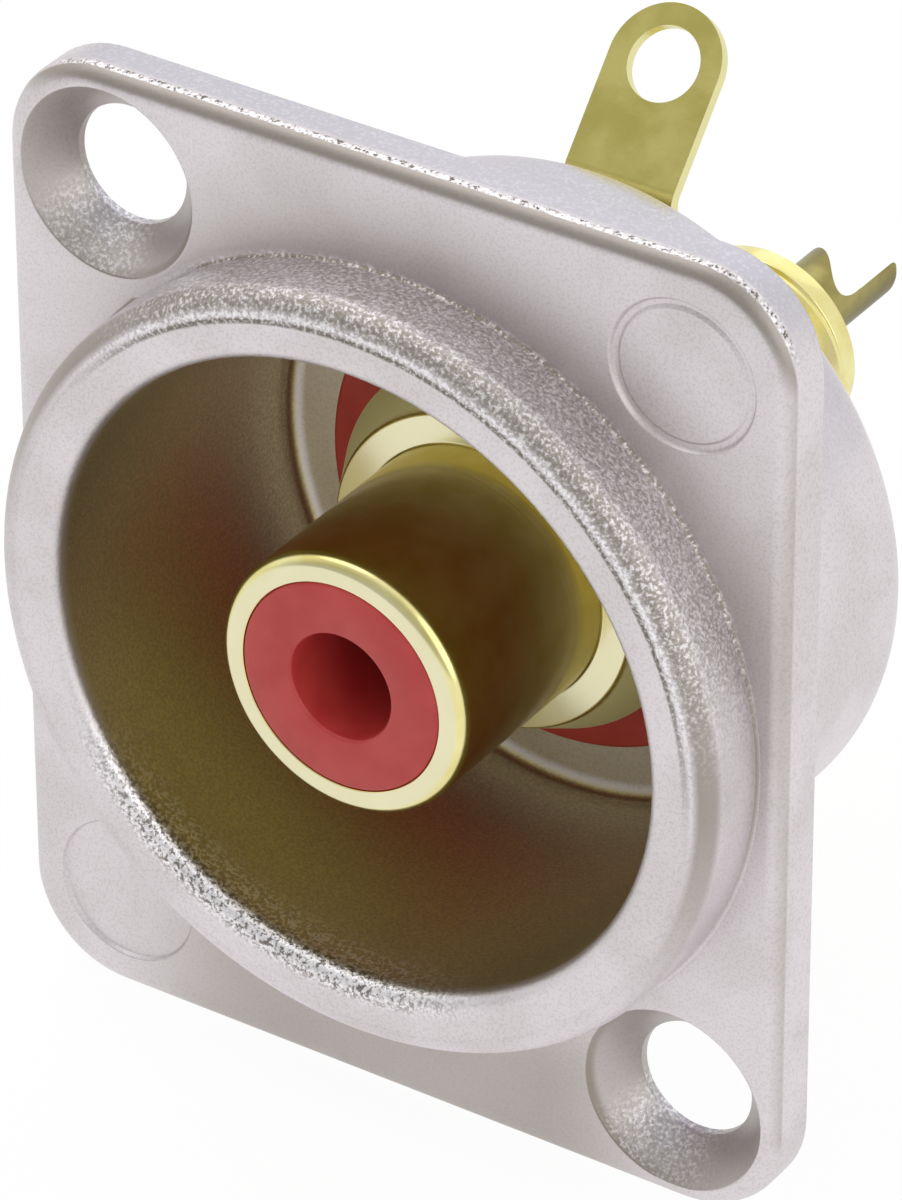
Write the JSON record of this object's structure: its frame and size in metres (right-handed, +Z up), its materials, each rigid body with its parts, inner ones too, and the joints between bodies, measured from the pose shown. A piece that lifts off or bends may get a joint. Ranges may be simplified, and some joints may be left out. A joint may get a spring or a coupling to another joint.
{
  "type": "phono panel socket",
  "caption": "Phono (RCA) chassis socket in a cup-shaped housing with a square flange, screwed to a panel from the front, with solder tags behind.",
  "frame": {"origin": "on the socket's axis, in the rear face of the flange, which seats on the panel", "axes": "+X right as seen from the front, +Y backwards along the socket's axis, +Z up; the mouth faces -Y"},
  "size_m": [0.026, 0.0282, 0.031],
  "materials": {
    "nickel_casting": "satin nickel plate on die-cast zinc, slightly grainy",
    "gold_plate": "polished gold plate on brass",
    "red_plastic": "moulded",
    "white_plastic": "moulded"
  },
  "bodies": {
    "root": {"housing": "nickel_casting", "front_washer": "red_plastic", "outer_contact": "gold_plate", "front_insulator": "red_plastic", "stem_insulator": "white_plastic", "centre_contact": "gold_plate", "rear_bush": "red_plastic", "ground_lug": "gold_plate", "hex_nut": "gold_plate"}
  },
  "joints": []
}
